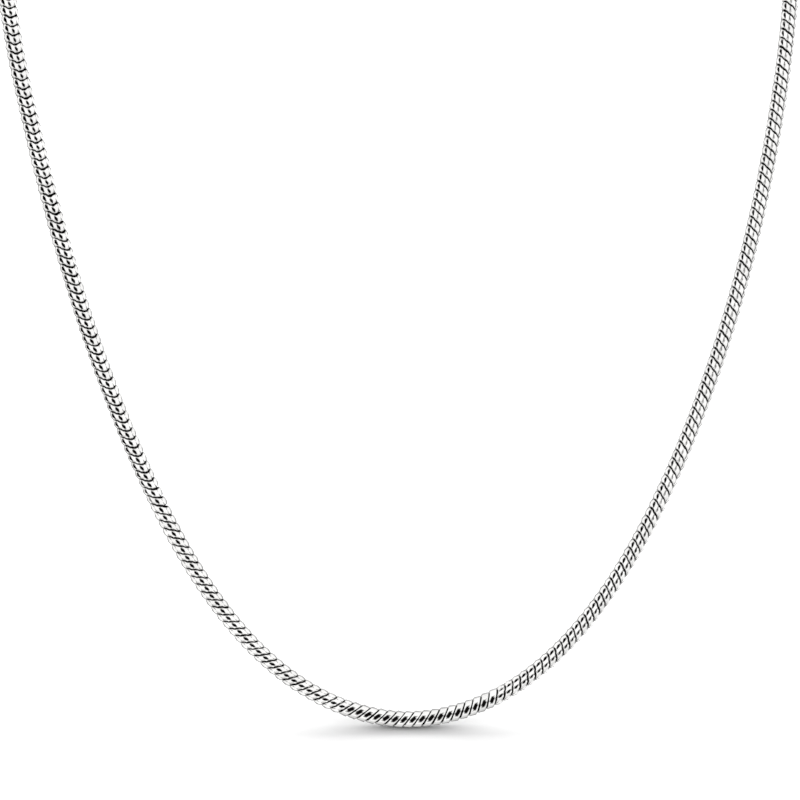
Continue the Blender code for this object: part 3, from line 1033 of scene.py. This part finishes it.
def clasp_mesh(fittings):
    """The closed clasp: a flat hook with its gate across the side and a pivot pin."""
    rounding = 0.2 * MM
    hook, tail = hook_middle(fittings), -tail_middle(fittings)
    hook_radius = fittings.hook_hole / 2.0 + fittings.hook_wall
    tail_radius = fittings.tail_hole / 2.0 + fittings.tail_wall
    flank = math.acos((hook_radius - tail_radius) / (hook - tail))
    outer, inner = hook_radius - rounding, fittings.hook_hole / 2.0 + rounding
    gate_from, gate_to = math.radians(12.0), math.radians(76.0)
    seam = math.radians(2.2)
    body = arc(hook, outer, gate_to, flank, 4)
    body += arc(tail, tail_radius - rounding, flank, 2.0 * math.pi - flank, 32)
    body += arc(hook, outer, 2.0 * math.pi - flank, 2.0 * math.pi + gate_from, 28)
    body += arc(hook, inner, gate_from, gate_to - 2.0 * math.pi, 40)
    tail_hole = arc(tail, fittings.tail_hole / 2.0 + rounding, 0.0, 2.0 * math.pi, 32)[:-1]
    shrink = 2.0 * rounding / outer
    gate = arc(hook, outer - 0.03 * MM, gate_from + seam + shrink, gate_to - seam - shrink, 12)
    gate += arc(hook, inner + 0.03 * MM, gate_to - seam - shrink, gate_from + seam + shrink, 12)
    mesh = bmesh.new()
    thickness = fittings.clasp_thickness
    for outlines, through in (([body, tail_hole], thickness), ([gate], thickness - 0.16 * MM)):
        data = flat_piece(outlines, through, rounding)
        mesh.from_mesh(data)
        bpy.data.meshes.remove(data)
    bmesh.ops.remove_doubles(mesh, verts=mesh.verts, dist=0.002 * MM)
    sunk = mesh.verts.layers.float.new("sunk")
    # The pin's heads stand a little proud on both faces, with painted shade round their rims
    face, radius = thickness / 2.0, 0.42 * MM
    head = [
        (0.0, face + 0.09 * MM, 0.0), (radius * 0.7, face + 0.08 * MM, 0.0),
        (radius, face, SEAM_SUNK)]
    rows = head + [(reach, -height, depth) for reach, height, depth in reversed(head)]
    turned_shape(mesh, sunk, rows, 24, middle=(hook * 0.18, 0.55 * MM))
    return mesh


# Operators

class BuildLinks(bpy.types.Operator):
    """Set the links of both runs along the chain's centre line"""
    bl_idname = "snake_chain.links"
    bl_label = "Add the Links"
    bl_options = {"REGISTER", "UNDO"}

    def execute(self, context):
        scene = context.scene
        links, fittings = scene.snake_chain_links, scene.snake_chain_fittings
        route = Route()
        material = link_silver(scene.snake_chain_finish)
        for side in SIDES:
            way, _, mouth = fastening(fittings, route, side)
            links_run(side, route, links, fittings, way, mouth, material)
        return {"FINISHED"}


class BuildCaps(bpy.types.Operator):
    """Add the turned caps with their soldered eyes"""
    bl_idname = "snake_chain.caps"
    bl_label = "Add the End Caps"
    bl_options = {"REGISTER", "UNDO"}

    def execute(self, context):
        scene = context.scene
        links, fittings = scene.snake_chain_links, scene.snake_chain_fittings
        route = Route()
        material = fitting_silver(scene.snake_chain_finish)
        for side in SIDES:
            way, _, mouth = fastening(fittings, route, side)
            place = route.frame(way * mouth, way)
            data = place_mesh("cap_" + side, cap_mesh(links, fittings), place, material)
            add_piece("cap_" + side, data, "end_cap_" + side)
        return {"FINISHED"}


class BuildJumpRings(bpy.types.Operator):
    """Add the two jump rings"""
    bl_idname = "snake_chain.jump_rings"
    bl_label = "Add the Jump Rings"
    bl_options = {"REGISTER", "UNDO"}

    def execute(self, context):
        scene = context.scene
        fittings = scene.snake_chain_fittings
        route = Route()
        material = fitting_silver(scene.snake_chain_finish)
        for side in SIDES:
            way, ring_at, _ = fastening(fittings, route, side)
            place = route.frame(way * ring_at, way)
            data = place_mesh("ring_" + side, ring_mesh(fittings), place, material)
            add_piece("ring_" + side, data, "jump_ring_" + side)
        return {"FINISHED"}


class BuildClasp(bpy.types.Operator):
    """Add the closed clasp between the jump rings"""
    bl_idname = "snake_chain.clasp"
    bl_label = "Add the Clasp"
    bl_options = {"REGISTER", "UNDO"}

    def execute(self, context):
        scene = context.scene
        route = Route()
        material = fitting_silver(scene.snake_chain_finish)
        lie_along = Matrix(((0.0, 0.0, 1.0), (0.0, -1.0, 0.0), (1.0, 0.0, 0.0))).to_4x4()
        place = route.frame(route.length / 2.0, 1.0) @ lie_along
        data = place_mesh("clasp_plate", clasp_mesh(scene.snake_chain_fittings), place, material)
        through = place.to_3x3() @ Vector((0.0, 0.0, 1.0))
        for face in data.polygons:
            face.use_smooth = abs(face.normal.dot(through)) < 0.99
        add_piece("clasp_plate", data, "clasp")
        return {"FINISHED"}


SOFTBOX_PLACE = (0.0, 0.6, 0.45)
SOFTBOX_SIZE = (0.72, 0.66)
SENSOR_WIDTH = 36.0


def floor_material(studio):
    """Plain pale floor with a faint grain."""
    material = bpy.data.materials.new("pale floor")
    material.use_nodes = True
    tree = material.node_tree
    shader = tree.nodes["Principled BSDF"]
    place = node(tree, "ShaderNodeTexCoord").outputs["Object"]
    shade = ranged(tree, noise(tree, place, 900.0, 2.0), 0.0, 1.0, 0.99, 1.0)
    colour = scaled(tree, tuple(studio.floor_colour), shade)
    tree.links.new(colour, shader.inputs["Base Color"])
    shader.inputs["Roughness"].default_value = 0.7
    shader.inputs["Specular IOR Level"].default_value = 0.1
    return material


def studio_world(studio):
    """White surroundings, with a grey zone behind the chain that only the metal mirrors."""
    world = bpy.data.worlds.new("studio")
    world.use_nodes = True
    tree = world.node_tree
    tree.nodes.clear()
    place = node(tree, "ShaderNodeTexCoord").outputs["Generated"]
    behind = (0.0, math.cos(DROP_LEAN), -math.sin(DROP_LEAN))
    facing = node(tree, "ShaderNodeVectorMath", {0: place, 1: behind}, operation="DOT_PRODUCT")
    mirrored = ranged(
        tree, facing.outputs["Value"], 0.28, 0.9,
        studio.mirrored_light, studio.mirrored_grey, smooth=True)
    height = node(tree, "ShaderNodeSeparateXYZ", {0: place}).outputs["Z"]
    floor = ranged(tree, height, -0.15, -0.8, 1.0, studio.mirrored_floor)
    around = math_node(tree, "MULTIPLY", mirrored, floor)
    path = node(tree, "ShaderNodeLightPath").outputs
    # Light that the metal would throw back on the floor is left out, so that the shadow stays dark
    seen = math_node(tree, "LESS_THAN", path["Diffuse Depth"], 0.5)
    seen = math_node(tree, "MULTIPLY", seen, around)
    level = node(tree, "ShaderNodeMix", {
        "Factor": path["Is Glossy Ray"], 2: studio.room_light, 3: seen}).outputs[0]
    plain_white = (1.0, 1.0, 1.0, 1.0)
    room = node(tree, "ShaderNodeBackground", {"Color": plain_white, "Strength": level})
    white = node(tree, "ShaderNodeBackground", {"Color": plain_white, "Strength": 1.0})
    mix = node(tree, "ShaderNodeMixShader", {
        0: path["Is Camera Ray"], 1: room.outputs[0], 2: white.outputs[0]})
    node(tree, "ShaderNodeOutputWorld", {"Surface": mix.outputs[0]})
    set_out(tree)
    return world


def softbox(target, power):
    """The lamp above and behind that throws the chain's shadow, unseen by the metal."""
    data = bpy.data.lights.new("softbox", "AREA")
    data.shape = "RECTANGLE"
    data.size, data.size_y = SOFTBOX_SIZE
    data.energy = power
    lamp = bpy.data.objects.new("softbox", data)
    bpy.context.scene.collection.objects.link(lamp)
    lamp.visible_glossy = False
    lamp.location = SOFTBOX_PLACE
    aim = Vector(target) - Vector(SOFTBOX_PLACE)
    lamp.rotation_euler = aim.to_track_quat("-Z", "Y").to_euler()


class BuildStudio(bpy.types.Operator):
    """Add the floor, the soft lights and the camera"""
    bl_idname = "snake_chain.studio"
    bl_label = "Add the Studio"
    bl_options = {"REGISTER", "UNDO"}

    def execute(self, context):
        studio = context.scene.snake_chain_studio
        self.floor(studio)
        context.scene.world = studio_world(studio)
        context.scene.view_settings.view_transform = "Standard"
        softbox((0.0, -MOUNT_DEPTH, -MOUNT_HEIGHT), studio.softbox_power)
        context.scene.camera = self.camera(studio)
        return {"FINISHED"}

    def floor(self, studio):
        half = studio.floor_size / 2.0
        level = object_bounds()[0][2]
        mesh = bmesh.new()
        bmesh.ops.create_grid(mesh, x_segments=8, y_segments=8, size=half)
        bmesh.ops.translate(mesh, vec=(0.0, 0.0, level), verts=mesh.verts)
        data = bpy.data.meshes.new("floor")
        mesh.to_mesh(data)
        mesh.free()
        data.materials.append(floor_material(studio))
        floor = bpy.data.objects.new("floor", data)
        bpy.context.scene.collection.objects.link(floor)
        floor.visible_glossy = False
        floor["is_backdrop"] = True

    def camera(self, studio):
        across = (PHOTO_SIZE / 2.0 - LOWEST_PIXEL[0]) / PIXELS_PER_MM * MM
        up = (LOWEST_PIXEL[1] - PHOTO_SIZE / 2.0) / PIXELS_PER_MM * MM
        deeper, higher = up * math.sin(DROP_LEAN), up * math.cos(DROP_LEAN)
        target = Vector((across, -MOUNT_DEPTH + deeper, -MOUNT_HEIGHT + higher))
        back = Vector((0.0, -math.cos(DROP_LEAN), math.sin(DROP_LEAN)))
        data = bpy.data.cameras.new("camera")
        data.sensor_width = SENSOR_WIDTH
        seen = PHOTO_SIZE / PIXELS_PER_MM * MM
        data.lens = data.sensor_width * studio.camera_distance / seen
        data.clip_start = 0.01
        camera = bpy.data.objects.new("camera", data)
        bpy.context.scene.collection.objects.link(camera)
        camera.location = target + back * studio.camera_distance
        camera.rotation_euler = (-back).to_track_quat("-Z", "Y").to_euler()
        return camera


class SnakeChainPanel(bpy.types.Panel):
    """Lists what the add-on builds"""
    bl_idname = "VIEW3D_PT_snake_chain"
    bl_label = "Snake Chain"
    bl_space_type = "VIEW_3D"
    bl_region_type = "UI"
    bl_category = "Snake Chain"

    def draw(self, context):
        layout = self.layout
        scene = context.scene
        for operator in OPERATORS:
            layout.operator(operator.bl_idname)
        for settings in (
                scene.snake_chain_links, scene.snake_chain_fittings,
                scene.snake_chain_finish, scene.snake_chain_studio):
            box = layout.box()
            for name in settings.__annotations__:
                box.prop(settings, name)


OPERATORS = (BuildLinks, BuildCaps, BuildJumpRings, BuildClasp, BuildStudio)
SETTINGS = (
    ("snake_chain_links", SnakeChainLinks),
    ("snake_chain_fittings", SnakeChainFittings),
    ("snake_chain_finish", SnakeChainFinish),
    ("snake_chain_studio", SnakeChainStudio),
)


def register():
    for name, settings in SETTINGS:
        bpy.utils.register_class(settings)
        setattr(bpy.types.Scene, name, PointerProperty(type=settings))
    for shown in (*OPERATORS, SnakeChainPanel):
        bpy.utils.register_class(shown)


def unregister():
    for shown in reversed((*OPERATORS, SnakeChainPanel)):
        bpy.utils.unregister_class(shown)
    for name, settings in reversed(SETTINGS):
        delattr(bpy.types.Scene, name)
        bpy.utils.unregister_class(settings)


def main():
    register()
    bpy.ops.snake_chain.links()
    bpy.ops.snake_chain.caps()
    bpy.ops.snake_chain.jump_rings()
    bpy.ops.snake_chain.clasp()
    bpy.ops.snake_chain.studio()


if __name__ == "__main__":
    main()
